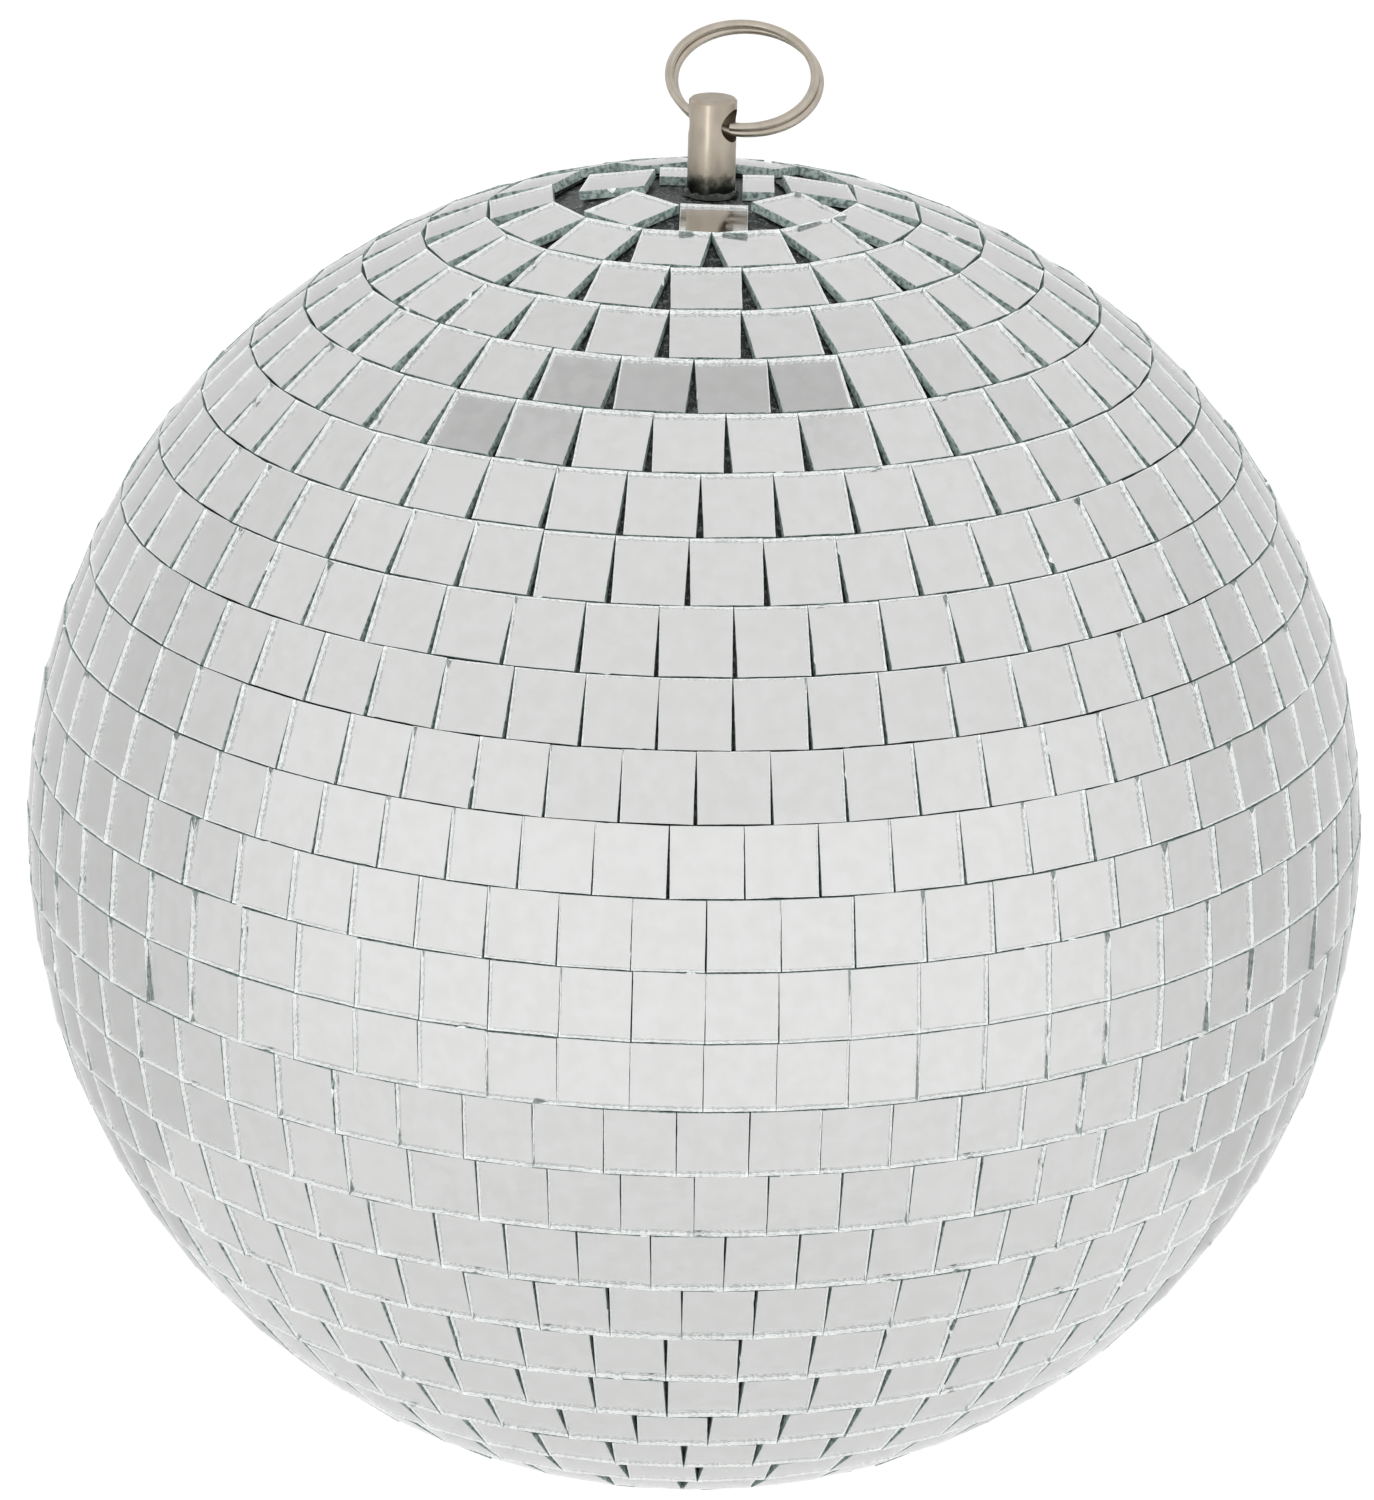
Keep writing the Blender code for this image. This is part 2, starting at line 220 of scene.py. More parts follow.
def ramp(tree, value, low, high, to_low=0.0, to_high=1.0):
    """The value's stretch from low to high, taken to another range and cut off there."""
    mapped = add_node(
        tree,
        "ShaderNodeMapRange",
        {
            "Value": value,
            "From Min": low,
            "From Max": high,
            "To Min": to_low,
            "To Max": to_high,
        },
        interpolation_type="SMOOTHSTEP",
    )
    return mapped.outputs["Result"]


def mixed(tree, share, first, second):
    """A colour from first to second as share goes from 0 to 1."""
    node = add_node(tree, "ShaderNodeMix", data_type="RGBA")
    sockets = (node.inputs[0], node.inputs[6], node.inputs[7])
    for socket, value in zip(sockets, (share, first, second)):
        if isinstance(value, bpy.types.NodeSocket):
            tree.links.new(value, socket)
        else:
            socket.default_value = (*value, 1)
    return node.outputs[2]


def bump(tree, shader, height, strength, depth):
    """Relief from a height, on the shader's normal."""
    node = add_node(
        tree, "ShaderNodeBump", {"Height": height, "Strength": strength, "Distance": depth}
    )
    tree.links.new(node.outputs["Normal"], shader.inputs["Normal"])


def glass_material():
    material, tree, shader, place = new_material(
        "tile_glass",
        Base_Color=(0.982, 0.990, 0.984, 1),
        Transmission_Weight=1.0,
        Roughness=0.0,
        IOR=1.5,
    )
    bump(tree, shader, noise(tree, place, 0.12, 1.0), 0.12, 0.05 * MM)
    return material


def silver_material():
    """The silvering on a tile's back, with a faint cloud and a few dull spots."""
    material, tree, shader, place = new_material("tile_silver", Metallic=1.0)
    cloud = ramp(tree, noise(tree, place, 0.35, 4.0), 0.3, 0.7)
    tone = mixed(tree, cloud, (0.690, 0.690, 0.684), (0.722, 0.722, 0.718))
    spots = ramp(tree, noise(tree, place, 1.9, 2.0), 0.78, 0.84)
    tone = mixed(tree, spots, tone, (0.55, 0.56, 0.55))
    tree.links.new(tone, shader.inputs["Base Color"])
    tree.links.new(ramp(tree, cloud, 0, 1, 0.03, 0.07), shader.inputs["Roughness"])
    return material


def edge_material():
    """The sides of a tile from outside: snapped glass, sea green and grey."""
    material, tree, shader, place = new_material("tile_edge", Roughness=0.35, IOR=1.5)
    grain = ramp(tree, noise(tree, place, 1.6, 5.0), 0.35, 0.62)
    tone = mixed(tree, grain, (0.13, 0.18, 0.17), (0.46, 0.55, 0.52))
    tree.links.new(tone, shader.inputs["Base Color"])
    bump(tree, shader, noise(tree, place, 3.0, 4.0), 0.5, 0.1 * MM)
    return material


def painted_glow_edge_material():
    """The sides of a tile from inside it: snapped white glass with a painted glow. The emission
    stands in for the light that snapped edges gather.
    """
    # Painted glow: a white emission makes the inner sides of each tile shine without any lamp.
    material, tree, shader, place = new_material(
        "tile_edge_inside_painted_glow", Roughness=0.5, Emission_Color=(1, 1, 1, 1), Emission_Strength=0.42
    )
    grain = ramp(tree, noise(tree, place, 2.2, 5.0), 0.38, 0.60)
    tone = mixed(tree, grain, (0.25, 0.30, 0.30), (0.96, 0.97, 0.97))
    tree.links.new(tone, shader.inputs["Base Color"])
    material.cycles.emission_sampling = "NONE"
    return material


def speckled_black(name, dark, light, roughness):
    """Black moulded plastic with pale dust and dried glue on it."""
    material, tree, shader, place = new_material(name, IOR=1.45)
    dust = ramp(tree, noise(tree, place, 1.2, 6.0), 0.50, 0.66)
    grains = ramp(tree, noise(tree, place, 4.5, 2.0), 0.62, 0.70)
    tone = mixed(tree, grains, mixed(tree, dust, dark, light), (0.42, 0.45, 0.44))
    tree.links.new(tone, shader.inputs["Base Color"])
    tree.links.new(ramp(tree, dust, 0, 1, *roughness), shader.inputs["Roughness"])
    bump(tree, shader, noise(tree, place, 1.3, 5.0), 0.8, 0.15 * MM)
    return material


def nickel_material(name, light, dark, foot=None):
    """Satin nickel with faint tarnish and fine lengthwise scratches. The foot height is where
    a painted shade begins, darkening the pin towards its foot where it meets the ball."""
    material, tree, shader, place = new_material(name, Metallic=1.0)
    tarnish = ramp(tree, noise(tree, place, 0.4, 4.0, (1, 1, 0.5)), 0.3, 0.75)
    tone = mixed(tree, tarnish, light, dark)
    freckles = ramp(tree, noise(tree, place, 2.6, 3.0), 0.70, 0.80)
    tone = mixed(tree, freckles, tone, (0.33, 0.27, 0.21))
    scratches = noise(tree, place, 6.0, 3.0, (1, 1, 0.1))
    gloss = ramp(tree, tarnish, 0, 1, 0.30, 0.38)
    if foot is not None:
        # Painted shade: the pin fades to near black over a few millimetres above its foot.
        height = add_node(tree, "ShaderNodeSeparateXYZ", {"Vector": place}).outputs["Z"]
        waver = ramp(tree, noise(tree, place, 0.6, 5.0), 0.25, 0.75, 0, 2.0 * MM)
        total = add_node(tree, "ShaderNodeMath", {0: height, 1: waver}, operation="SUBTRACT")
        painted_foot_shade = ramp(tree, total.outputs[0], foot + 0.6 * MM, foot + 3.4 * MM, 1, 0)
        tone = mixed(tree, painted_foot_shade, tone, (0.04, 0.045, 0.038))
    tree.links.new(tone, shader.inputs["Base Color"])
    tree.links.new(gloss, shader.inputs["Roughness"])
    bump(tree, shader, scratches, 0.1, 0.006 * MM)
    return material


def zinc_material():
    material, tree, shader, place = new_material("zinc_plate", Metallic=1.0)
    cloud = ramp(tree, noise(tree, place, 0.6, 4.0), 0.3, 0.7)
    tone = mixed(tree, cloud, (0.60, 0.62, 0.64), (0.46, 0.47, 0.47))
    tree.links.new(tone, shader.inputs["Base Color"])
    tree.links.new(ramp(tree, cloud, 0, 1, 0.28, 0.48), shader.inputs["Roughness"])
    bump(tree, shader, noise(tree, place, 3.5, 3.0), 0.2, 0.03 * MM)
    return material


def sealant_material():
    material, tree, shader, place = new_material("set_glue", IOR=1.45)
    cloud = ramp(tree, noise(tree, place, 1.1, 4.0), 0.4, 0.7)
    tone = mixed(tree, cloud, (0.012, 0.014, 0.012), (0.06, 0.068, 0.055))
    tree.links.new(tone, shader.inputs["Base Color"])
    tree.links.new(ramp(tree, cloud, 0, 1, 0.22, 0.5), shader.inputs["Roughness"])
    bump(tree, shader, noise(tree, place, 1.8, 4.0), 0.7, 0.15 * MM)
    return material


# ---------------------------------------------------------------- pieces


def mesh_object(name, bm, materials):
    """A new object from a bmesh, which it frees."""
    mesh = bpy.data.meshes.new(name)
    bm.to_mesh(mesh)
    bm.free()
    for material in materials:
        mesh.materials.append(material)
    obj = bpy.data.objects.new(name, mesh)
    bpy.context.scene.collection.objects.link(obj)
    return obj


def place_piece(obj, body, slot, *nodes):
    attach(obj, body)
    if nodes:
        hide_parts(*nodes)
    return obj


def turned(bm, profile, steps, turn=0.0, place=Matrix(), closed=True):
    """Turns a profile of (radius, height) points about Z. Points on the axis are joined."""
    rings = []
    for i in range(steps):
        angle = turn + math.tau * i / steps
        around = Vector((math.cos(angle), math.sin(angle), 0))
        points = [around * radius + Vector((0, 0, height)) for radius, height in profile]
        rings.append([bm.verts.new(place @ point) for point in points])
    count = len(profile)
    for i in range(steps):
        here, there = rings[i], rings[(i + 1) % steps]
        for k in range(count if closed else count - 1):
            after = (k + 1) % count
            bm.faces.new((here[k], there[k], there[after], here[after]))
    bmesh.ops.remove_doubles(bm, verts=bm.verts, dist=MERGE_DISTANCE)


def arc(radius, start, end, count):
    """Points of a circle about the ball's centre, from one polar angle to another."""
    angles = [start + (end - start) * i / count for i in range(count + 1)]
    return [(radius * math.sin(a), radius * math.cos(a)) for a in angles]


def finished(obj, bevel=0.0, cutters=(), sharp=35):
    """Cuts the piece, rounds its edges by bevel and shades it smooth between sharp edges."""
    for cutter in cutters:
        cut = obj.modifiers.new("Cut", "BOOLEAN")
        cut.operation = "DIFFERENCE"
        cut.solver = "EXACT"
        cut.object = cutter
    if bevel:
        rounding = obj.modifiers.new("Round", "BEVEL")
        rounding.width = bevel
        rounding.segments = 3
        rounding.limit_method = "ANGLE"
        rounding.angle_limit = math.radians(40)
    bpy.context.view_layer.update()
    evaluated = obj.evaluated_get(bpy.context.evaluated_depsgraph_get())
    obj.data = bpy.data.meshes.new_from_object(evaluated)
    obj.modifiers.clear()
    for cutter in cutters:
        bpy.data.objects.remove(cutter)
    obj.data.shade_smooth()
    obj.data.set_sharp_from_angle(angle=math.radians(sharp))
    return obj


def rod(radius, length, sides, place):
    bm = bmesh.new()
    bmesh.ops.create_cone(
        bm, cap_ends=True, segments=sides, radius1=radius, radius2=radius, depth=length,
        matrix=place,
    )
    return mesh_object("cutter", bm, [])


# ---------------------------------------------------------------- rows of tiles


def row_angles(row, gap=ROW_GAP):
    """(nearer, further) polar angle of a row's edges from its own pole, less half the gap."""
    start = TOP_POLAR_ANGLE + (row - 1) * ROW_ANGLE
    end = start + ROW_ANGLE
    if row > MIDDLE_ROW:
        start, end = math.pi - end, math.pi - start
    half_gap = gap / 2 / CAD_BALL_RADIUS
    return start + half_gap, end - half_gap


def row_side(row):
    return -1 if row > MIDDLE_ROW else 1


def tile_count(row):
    near, _ = row_angles(row, CAD_ROW_GAP)
    return int(math.tau * CAD_BALL_RADIUS * math.sin(near) / TILE_PITCH)


def tile_width(row):
    """As wide as the row's shorter edge lets a tile be."""
    pitch = 2 * BALL_RADIUS * math.sin(row_angles(row)[0]) * math.tan(math.pi / tile_count(row))
    return min(pitch - JOINT_GAP, WIDEST_TILE)


def joint_angle(row, count):
    """Where a joint between two tiles falls, read from the corners of the CAD row's inside."""
    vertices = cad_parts[ROW_NODES[row - 1]].data.vertices
    into_rows = ROWS_PLACE.inverted()
    inner = sorted((into_rows @ v.co for v in vertices), key=lambda p: round(p.length, 6))
    total = sum(cmath.exp(1j * count * math.atan2(p.y, p.x)) for p in inner[:count])
    return cmath.phase(total) / count


def snapped_outline(width, height, rng):
    """(edge, chipped edge, silvering) of a tile, as three lists of points in its own plane."""
    signs = ((-1, -1), (1, -1), (1, 1), (-1, 1))
    corners = [Vector((x * width / 2, y * height / 2)) for x, y in signs]
    corners = [c + Vector((rng.gauss(0, EDGE_WAVER), rng.gauss(0, EDGE_WAVER))) for c in corners]
    edge, chipped, silver = [], [], []
    for i, start in enumerate(corners):
        end = corners[(i + 1) % 4]
        along = (end - start).normalized()
        inward = Vector((-along.y, along.x))
        for k in range(EDGE_POINTS):
            point = start.lerp(end, k / EDGE_POINTS)
            waver = abs(rng.gauss(0, EDGE_WAVER)) if k else 0
            chip = rng.uniform(0.3, 1) * CHIP_DEPTH if rng.random() < CHIP_SHARE else 0
            flake = rng.uniform(0.3, 1) * CHIP_DEPTH if rng.random() < CHIP_SHARE else 0
            edge.append(point + inward * waver)
            chipped.append(point + inward * (waver + chip))
            inset = SILVER_INSET * rng.uniform(0.5, 1.5) + waver + flake
            corner_slip = along * inset if k == 0 else Vector((0, 0))
            silver.append(point + inward * inset + corner_slip)
    return edge, chipped, silver


def add_tile(bm, place, width, height, rng):
    """A slab of glass with its front in the plane z = 0 of the matrix place."""
    edge, chipped, silver = snapped_outline(width, height, rng)
    lowered = -TILE_THICKNESS
    front = [bm.verts.new(place @ Vector((*p, 0))) for p in chipped]
    back = [bm.verts.new(place @ Vector((*p, lowered))) for p in edge]
    mirror = [bm.verts.new(place @ Vector((*p, lowered))) for p in silver]
    bm.faces.new(front).material_index = 0
    bm.faces.new(reversed(mirror)).material_index = 1
    for i in range(len(front)):
        j = (i + 1) % len(front)
        bm.faces.new((front[j], front[i], back[i], back[j])).material_index = 2
        bm.faces.new((back[j], back[i], mirror[i], mirror[j])).material_index = 2
        bm.faces.new((front[i], front[j], mirror[j], mirror[i])).material_index = 3


def jitter(rng):
    """A small random tilt, twist and shift of a tile in its own plane."""
    shift = Vector(
        (rng.gauss(0, TILE_SHIFT), rng.gauss(0, TILE_SHIFT), -abs(rng.gauss(0, TILE_SINK)))
    )
    turn = Matrix.Rotation(rng.gauss(0, TWIST), 4, "Z")
    tilt = Matrix.Rotation(rng.gauss(0, TILT), 4, "X") @ Matrix.Rotation(rng.gauss(0, TILT), 4, "Y")
    return Matrix.Translation(shift) @ tilt @ turn


def tile_place(row, azimuth, width):
    """(matrix of a tile's front, its height) for a tile of a row, centred at an azimuth."""
    near, far = row_angles(row)
    side = row_side(row)
    far_radius = BALL_RADIUS * math.sin(far)
    near_edge = Vector((BALL_RADIUS * math.sin(near), 0, side * BALL_RADIUS * math.cos(near)))
    far_edge = Vector(
        (math.sqrt(far_radius**2 - (width / 2) ** 2), 0, side * BALL_RADIUS * math.cos(far))
    )
    up = (near_edge - far_edge) if side > 0 else (far_edge - near_edge)
    height = up.length
    up.normalize()
    across = Vector((0, 1, 0))
    normal = across.cross(up)
    place = Matrix((across, up, normal)).transposed().to_4x4()
    place.translation = (near_edge + far_edge) / 2
    turn = Matrix.Rotation(azimuth, 4, "Z")
    return ROWS_PLACE @ turn @ place, height


def hand_place(x, y, turn):
    """The matrix of a tile laid by hand near the top, its centre over (x, y) in millimetres."""
    half = TILE_WIDTH / 2
    reach = math.sqrt(BALL_RADIUS**2 - 2 * half**2)
    outward = Vector((x * MM, y * MM, 0))
    outward.z = math.sqrt(reach**2 - outward.length_squared)
    normal = outward.normalized()
    heading = Vector((-math.sin(math.radians(turn)), math.cos(math.radians(turn)), 0))
    up = (heading - normal * heading.dot(normal)).normalized()
    place = Matrix((up.cross(normal), up, normal)).transposed().to_4x4()
    place.translation = normal * reach
    return Matrix.Translation(CENTRE) @ place


def add_backing(row, count, turn, material):
    """The dark strip under a row's tiles."""
    near, far = row_angles(row)
    near += STRIP_INSET / BALL_RADIUS
    far -= STRIP_INSET / BALL_RADIUS
    spread = 1 / math.cos(math.pi / count)
    side = row_side(row)
    profile = [
        (radius * math.sin(angle) * widening, side * radius * math.cos(angle))
        for radius, angle, widening in (
            (STRIP_OUTER_RADIUS, near, spread),
            (STRIP_OUTER_RADIUS, far, 1),
            (STRIP_INNER_RADIUS, far, 1),
            (STRIP_INNER_RADIUS, near, spread),
        )
    ]
    bm = bmesh.new()
    turned(bm, profile, count, turn, ROWS_PLACE)
    bmesh.ops.recalc_face_normals(bm, faces=bm.faces)
    obj = mesh_object(f"{ROW_NODES[row - 1]}_strip", bm, [material])
    place_piece(obj, "ball", SLOT_PLASTIC)


def add_row(row, materials, strip_material):
    rng = random.Random(row)
    count = tile_count(row)
    joint = joint_angle(row, count)
    bm = bmesh.new()
    if row == 1:
        for x, y, turn in HAND_LAID:
            add_tile(bm, hand_place(x, y, turn) @ jitter(rng), TILE_WIDTH, TILE_WIDTH, rng)
    else:
        width = tile_width(row)
        for i in range(count):
            place, height = tile_place(row, joint + (i + 0.5) * math.tau / count, width)
            add_tile(bm, place @ jitter(rng), width - abs(rng.gauss(0, JOINT_GAP)), height, rng)
    node = ROW_NODES[row - 1]
    obj = mesh_object(f"{node}_tiles", bm, materials)
    place_piece(obj, "ball", SLOT_GLASS, node)
    add_backing(row, count, joint, strip_material)


def add_bottom_tile(materials):
    rng = random.Random("bottom")
    flat = -BALL_RADIUS * math.cos(ROW_ANGLE / 2)
    place = ROWS_PLACE @ Matrix.Translation((0, 0, flat)) @ Matrix.Rotation(math.pi, 4, "X")
    bm = bmesh.new()
    add_tile(bm, place, TILE_WIDTH, TILE_WIDTH, rng)
    obj = mesh_object("bottom_tile_glass", bm, materials)
    place_piece(obj, "ball", SLOT_GLASS, "bottom_tile")


def add_filler_tile(node, materials):
    """A cut tile that fills a CAD tile's own box."""
    rng = random.Random(node)
    low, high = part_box(node)
    middle = Vector(((low.x + high.x) / 2, (low.y + high.y) / 2, high.z))
    bm = bmesh.new()
    add_tile(bm, Matrix.Translation(middle), high.x - low.x, high.y - low.y, rng)
    obj = mesh_object(f"{node}_glass", bm, materials)
    place_piece(obj, "ball", SLOT_GLASS, node)


# ---------------------------------------------------------------- pin, shells and ring


def add_lathe(name, node, profile, steps, slot, material, closed=True, cutters=(), bevel=0.0):
    """A piece turned about the pin's axis in place of a CAD node."""
    bm = bmesh.new()
    turned(bm, profile, steps, place=Matrix.Translation(CENTRE), closed=closed)
    bmesh.ops.recalc_face_normals(bm, faces=bm.faces)
    obj = finished(mesh_object(name, bm, [material]), bevel, cutters)
    return place_piece(obj, "ball", slot, node)


def add_shells(material):
    """Both halves of the core. It returns the height of the flat that the pin stands on."""
    inside = CORE_RADIUS - CORE_WALL
    rim = SHELL_GAP / 2
    hub_height = math.sqrt(CORE_RADIUS**2 - HUB_FLAT_RADIUS**2)
    pad_height = math.sqrt(inside**2 - HUB_PAD_RADIUS**2)
    hub_angle = math.asin(HUB_FLAT_RADIUS / CORE_RADIUS)
    pad_angle = math.asin(HUB_PAD_RADIUS / inside)
    profile = [(HUB_HOLE_RADIUS, hub_height)]
    profile += arc(CORE_RADIUS, hub_angle, math.pi / 2 - rim / CORE_RADIUS, CORE_ARC_PARTS)
    profile += arc(inside, math.pi / 2 - rim / inside, pad_angle, CORE_ARC_PARTS)
    profile.append((HUB_HOLE_RADIUS, pad_height))
    add_lathe(
        "upper_shell", "upper_half_shell", profile, CORE_STEPS, SLOT_PLASTIC, material
    )

    collar_outside = inside - COLLAR_CLEARANCE
    collar_inside = collar_outside - COLLAR_WALL
    collar_foot = math.pi / 2 + math.asin(COLLAR_DROP / inside)
    profile = arc(inside, math.pi, collar_foot, CORE_ARC_PARTS)
    profile += [
        (collar_inside, COLLAR_WALL - COLLAR_DROP),
        (collar_inside, COLLAR_RISE),
        (collar_outside, COLLAR_RISE),
        (collar_outside, -rim),
    ]
    profile += arc(CORE_RADIUS, math.pi / 2 + rim / CORE_RADIUS, math.pi, CORE_ARC_PARTS)
    add_lathe(
        "lower_shell", "lower_half_shell", profile, CORE_STEPS, SLOT_PLASTIC, material,
        closed=False,
    )
    return hub_height


def add_pin(hub_height, material):
    """The pin, with its thread as a row of grooves and its cross hole cut through."""
    top = HOLE_HEIGHT + PIN_ABOVE_HOLE
    shoulder = hub_height + FIT_GAP
    foot = shoulder - SHANK_LENGTH
    profile = [
        (0, top),
        (PIN_RADIUS - PIN_CHAMFER, top),
        (PIN_RADIUS, top - PIN_CHAMFER),
        (PIN_RADIUS, shoulder),
        (SHANK_RADIUS, shoulder),
    ]
    height = shoulder - 2 * THREAD_PITCH
    while height > foot + THREAD_PITCH:
        profile.append((SHANK_RADIUS, height))
        profile.append((SHANK_RADIUS - THREAD_DEPTH, height - THREAD_PITCH / 2))
        height -= THREAD_PITCH
    profile += [
        (SHANK_RADIUS, foot + PIN_CHAMFER),
        (SHANK_RADIUS - PIN_CHAMFER, foot),
        (0, foot),
    ]
    across = Matrix.Rotation(HOLE_TURN, 4, "Z") @ Matrix.Rotation(math.pi / 2, 4, "Y")
    hole = rod(HOLE_RADIUS, 4 * PIN_RADIUS, FINE_STEPS, across)
    add_lathe(
        "hanging_pin_turned", "hanging_pin", profile, FINE_STEPS, SLOT_NICKEL, material,
        closed=False, cutters=[hole],
    )


def add_sealant(material):
    """A thin, lumpy fillet of glue round the foot of the pin."""
    low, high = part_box("pin_sealant")
    rng = random.Random("sealant")
    inner = PIN_RADIUS + SEALANT_CLEARANCE
    outer = (high.x - low.x) / 2
    tall = high.z - low.z
    waves = [
        (rng.uniform(0, math.tau), rng.randrange(3, 14), rng.uniform(0.02, 0.09))
        for _ in range(SEALANT_WAVES)
    ]
    bm = bmesh.new()
    rings = []
    for i in range(FINE_STEPS):
        angle = math.tau * i / FINE_STEPS
        lump = sum(share * math.sin(angle * count + start) for start, count, share in waves)
        swell = min(max(0.75 + lump, 0.35), 1.0)
        around = Vector((math.cos(angle), math.sin(angle), 0))
        wide = inner + (outer - inner) * swell
        points = [
            (inner, low.z),
            (wide, low.z),
            (wide - (wide - inner) * 0.25, low.z + tall * swell * 0.45),
            (inner + (wide - inner) * 0.3, low.z + tall * swell * 0.85),
            (inner, low.z + tall * swell),
        ]
        rings.append([bm.verts.new(around * radius + Vector((0, 0, z))) for radius, z in points])
    for i, here in enumerate(rings):
        there = rings[(i + 1) % FINE_STEPS]
        for k in range(len(here)):
            after = (k + 1) % len(here)
            bm.faces.new((here[k], there[k], there[after], here[after]))
    bmesh.ops.recalc_face_normals(bm, faces=bm.faces)
    obj = finished(mesh_object("sealant_fillet", bm, [material]), sharp=60)
    place_piece(obj, "ball", SLOT_SEALANT, "pin_sealant")


def add_washer(name, node, bore, material, slit=0.0):
    low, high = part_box(node)
    outer = (high.y - low.y) / 2
    profile = [(outer, high.z), (outer, low.z), (bore, low.z), (bore, high.z)]
    profile = [(radius, height + HOLE_HEIGHT) for radius, height in profile]
    cutters = []
    if slit:
        bm = bmesh.new()
        middle = Matrix.Translation((outer, 0, (low.z + high.z) / 2))
        bmesh.ops.create_cube(
            bm, size=1, matrix=middle @ Matrix.Diagonal((2 * outer, slit, 2 * outer, 1))
        )
        cutters.append(mesh_object("cutter", bm, []))
    add_lathe(
        name, node, profile, FINE_STEPS, SLOT_ZINC, material, cutters=cutters,
        bevel=WASHER_BEVEL,
    )


def add_nut(material):
    """A hexagon nut whose corners are turned off at both faces."""
    low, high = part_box("hex_nut")
    middle = (low.z + high.z) / 2
    tall = high.z - low.z
    corner = NUT_FLATS / 2 / math.cos(math.pi / 6)
    nut = rod(corner, tall, 6, Matrix.Translation((0, 0, middle)))
    nut.name = "hex_nut_chamfered"
    nut.data.materials.append(material)
    bore = rod(HUB_HOLE_RADIUS, 2 * tall, FINE_STEPS, Matrix.Translation((0, 0, middle)))
    cutters = [bore]
    for side in (-1, 1):
        bm = bmesh.new()
        near, far = NUT_FLATS * 0.48, NUT_FLATS * 0.8
        edge = middle + side * tall / 2
        profile = [
            (near, edge),
            (far, edge - side * (far - near) * math.tan(NUT_CHAMFER)),
            (far, edge + side * MM),
            (near, edge + side * MM),
        ]
        turned(bm, profile, FINE_STEPS)
        bmesh.ops.recalc_face_normals(bm, faces=bm.faces)
        cutters.append(mesh_object("cutter", bm, []))
    finished(nut, cutters=cutters)
    place_piece(nut, "ball", SLOT_ZINC, "hex_nut")


def smooth_step(x):
    x = min(max(x, 0.0), 1.0)
    return x * x * (3 - 2 * x)


def ring_points():
    """The wire's centre line: two turns that lie on each other, joined by a short step."""
    right = Vector((1, 0, 0))
    back = Vector((0, math.cos(RING_RISE), math.sin(RING_RISE)))
    normal = right.cross(back)
    outward = math.sin(RING_SLANT) * right + math.cos(RING_SLANT) * back
    centre = outward * (RING_RADIUS + RING_SEAT)
    reach = math.tau - RING_STEP_WIDTH / 2 - RING_END_MARGIN
    points = []
    for i in range(RING_POINTS + 1):
        past_step = reach * (2 * i / RING_POINTS - 1)
        level = 2 * smooth_step(past_step / RING_STEP_WIDTH + 0.5) - 1
        angle = RING_STEP + past_step
        around = right * math.cos(angle) + back * math.sin(angle)
        offset = right * RING_TURN_SHIFT - normal * (RING_TURN_PITCH / 2)
        points.append(centre + around * RING_RADIUS + level * offset)
    return points


def add_ring(material):
    curve = bpy.data.curves.new("wire", "CURVE")
    curve.dimensions = "3D"
    curve.bevel_depth = RING_WIRE_RADIUS
    curve.bevel_resolution = 6
    curve.use_fill_caps = True
    points = ring_points()
    spline = curve.splines.new("POLY")
    spline.points.add(len(points) - 1)
    for target, point in zip(spline.points, points):
        target.co = (*point, 1)
    wire = bpy.data.objects.new("wire", curve)
    bpy.context.scene.collection.objects.link(wire)
    bpy.context.view_layer.update()
    evaluated = wire.evaluated_get(bpy.context.evaluated_depsgraph_get())
    mesh = bpy.data.meshes.new_from_object(evaluated)
    bpy.data.objects.remove(wire)
    mesh.materials.clear()
    mesh.materials.append(material)
    obj = bpy.data.objects.new("split_ring_wire", mesh)
    bpy.context.scene.collection.objects.link(obj)
    finished(obj, sharp=50)
    place_piece(obj, "ring", SLOT_NICKEL, "split_ring")


# ---------------------------------------------------------------- stage


def add_floor():
    bpy.ops.mesh.primitive_circle_add(
        vertices=96, radius=FLOOR_RADIUS, fill_type="NGON",
        location=(0, 0, CENTRE.z - BALL_RADIUS - FLOOR_DROP),
    )
    floor = bpy.context.object
    floor.name = "floor"
    material, _, _, _ = new_material(
        "floor_paper", Base_Color=(0.75, 0.75, 0.75, 1), Roughness=1.0, Specular_IOR_Level=0.0
    )
    floor.data.materials.append(material)


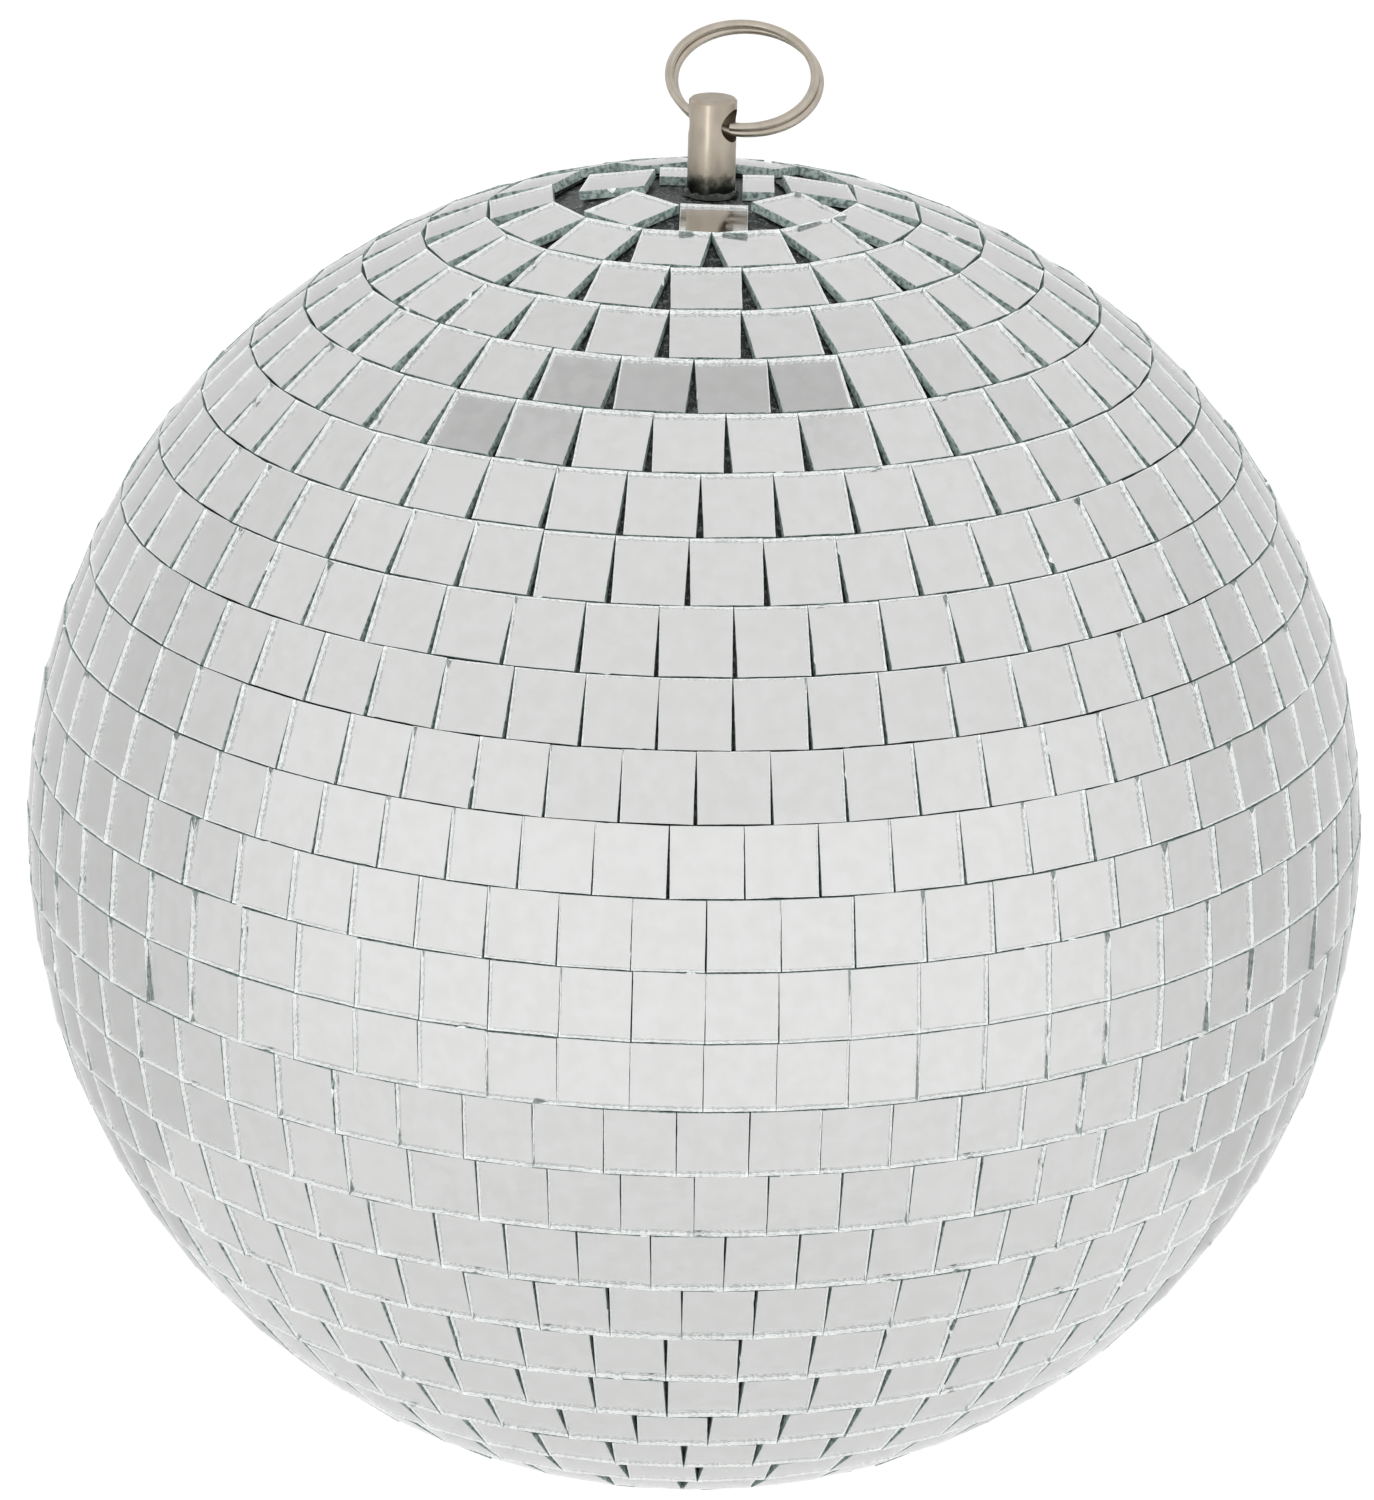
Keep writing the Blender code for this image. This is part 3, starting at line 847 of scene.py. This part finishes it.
def add_world():
    """Soft studio light from all round: brightest in front, dimmer at the sides and the back,
    with a darker patch overhead like a beam across the ceiling."""
    world = bpy.data.worlds.new("studio")
    bpy.context.scene.world = world
    world.use_nodes = True
    tree = world.node_tree
    background = tree.nodes["Background"]
    direction = add_node(tree, "ShaderNodeTexCoord").outputs["Generated"]
    axes = add_node(tree, "ShaderNodeSeparateXYZ", {"Vector": direction}).outputs

    def maths(operation, first, second):
        node = add_node(tree, "ShaderNodeMath", {0: first, 1: second}, operation=operation)
        return node.outputs[0]

    def between(value, low, high, soft):
        """1 where the value lies between low and high, falling to 0 over soft at each end."""
        return maths(
            "MULTIPLY",
            ramp(tree, value, low - soft / 2, low + soft / 2),
            ramp(tree, value, high - soft / 2, high + soft / 2, 1, 0),
        )

    across = between(axes["X"], -0.62, 0.31, 0.06)
    beam = maths("MULTIPLY", across, between(axes["Y"], 0.02, 0.255, 0.05))
    beam = maths("MULTIPLY", beam, ramp(tree, axes["Z"], 0.3, 0.5))
    level = between(axes["Z"], -0.45, 0.36, 0.2)
    front = maths("MULTIPLY", level, ramp(tree, axes["Y"], 0.1, -0.7))
    light = maths("ADD", LIGHT_LEVEL, maths("MULTIPLY", front, FRONT_GAIN))
    light = maths("SUBTRACT", light, maths("MULTIPLY", beam, BEAM_LOSS))
    behind = ramp(tree, axes["Y"], 0.0, 0.6)
    light = maths("SUBTRACT", light, maths("MULTIPLY", behind, BACK_LOSS))
    sides = maths("MULTIPLY", ramp(tree, axes["Y"], -0.4, 0.3), ramp(tree, axes["Z"], 0.55, 0.0))
    light = maths("SUBTRACT", light, maths("MULTIPLY", sides, SIDES_LOSS))
    upper = ramp(tree, axes["Z"], -0.45, 0.0)
    upper_back = maths("MULTIPLY", ramp(tree, axes["Y"], 0.45, 0.65), upper)
    light = maths("ADD", light, maths("MULTIPLY", upper_back, UPPER_BACK_GAIN))

    path = add_node(tree, "ShaderNodeLightPath").outputs
    scattered = maths("MINIMUM", path["Diffuse Depth"], 1.0)
    gain = maths("ADD", 1.0, maths("MULTIPLY", scattered, SCATTERED_GAIN))
    light = maths("MULTIPLY", light, gain)
    seen = maths("MULTIPLY", path["Is Camera Ray"], BACKGROUND_LEVEL)
    light = maths("MAXIMUM", light, seen)
    tree.links.new(light, background.inputs["Strength"])
    background.inputs["Color"].default_value = (1, 1, 1, 1)


def add_camera():
    data = bpy.data.cameras.new("camera")
    data.lens = CAMERA_LENS
    data.sensor_width = CAMERA_SENSOR
    camera = bpy.data.objects.new("camera", data)
    bpy.context.scene.collection.objects.link(camera)
    back = Vector((0, -math.cos(CAMERA_ELEVATION), math.sin(CAMERA_ELEVATION)))
    aim = (-back).to_track_quat("-Z", "Y").to_matrix().to_4x4()
    held = Matrix.Rotation(CAMERA_ROLL, 4, "Z")
    turned_off = Matrix.Rotation(CAMERA_PAN, 4, "Y") @ Matrix.Rotation(CAMERA_TILT, 4, "X")
    away = Matrix.Translation(CENTRE + back * CAMERA_DISTANCE)
    camera.matrix_world = away @ aim @ held @ turned_off
    bpy.context.scene.camera = camera


def add_softbox(receivers):
    """A tall light in front and to the left that only the nickel pieces catch."""
    light = bpy.data.lights.new("softbox", "AREA")
    light.shape = "RECTANGLE"
    light.size = SOFTBOX_WIDTH
    light.size_y = SOFTBOX_HEIGHT
    light.energy = SOFTBOX_POWER
    obj = bpy.data.objects.new("softbox", light)
    bpy.context.scene.collection.objects.link(obj)
    towards = Vector((math.sin(SOFTBOX_TURN), -math.cos(SOFTBOX_TURN), 0))
    towards *= math.cos(SOFTBOX_DROP)
    towards.z = -math.sin(SOFTBOX_DROP)
    aim = towards.to_track_quat("Z", "Y").to_matrix().to_4x4()
    obj.matrix_world = Matrix.Translation(towards * SOFTBOX_DISTANCE) @ aim
    obj.visible_camera = False
    lit = bpy.data.collections.new("lit_by_softbox")
    for receiver in receivers:
        lit.objects.link(receiver)
    obj.light_linking.receiver_collection = lit
    obj.light_linking.blocker_collection = lit


# ---------------------------------------------------------------- the ball

add_camera()
add_world()
add_floor()
bpy.context.scene.view_settings.view_transform = "Standard"

tile_materials = [glass_material(), silver_material(), edge_material(), painted_glow_edge_material()]
strip = speckled_black("strip_black", (0.012, 0.014, 0.013), (0.14, 0.155, 0.15), (0.5, 0.8))
zinc = zinc_material()

for row_number in range(1, ROW_COUNT + 1):
    add_row(row_number, tile_materials, strip)
add_bottom_tile(tile_materials)
add_filler_tile("filler_tile_right", tile_materials)
add_filler_tile("filler_tile_back", tile_materials)

hub_top = add_shells(strip)
pin_nickel = nickel_material(
    "nickel_pin", (0.50, 0.44, 0.365), (0.42, 0.365, 0.295), hub_top - HOLE_HEIGHT
)
add_pin(hub_top, pin_nickel)
add_sealant(sealant_material())
add_washer("backing_washer_pressed", "backing_washer", HUB_HOLE_RADIUS, zinc)
add_washer("lock_washer_sprung", "lock_washer", HUB_HOLE_RADIUS, zinc, slit=LOCK_WASHER_SLIT)
add_nut(zinc)
add_ring(nickel_material("nickel_ring", (0.56, 0.505, 0.435), (0.48, 0.425, 0.355)))
add_softbox([bpy.data.objects["hanging_pin_turned"], bpy.data.objects["split_ring_wire"]])
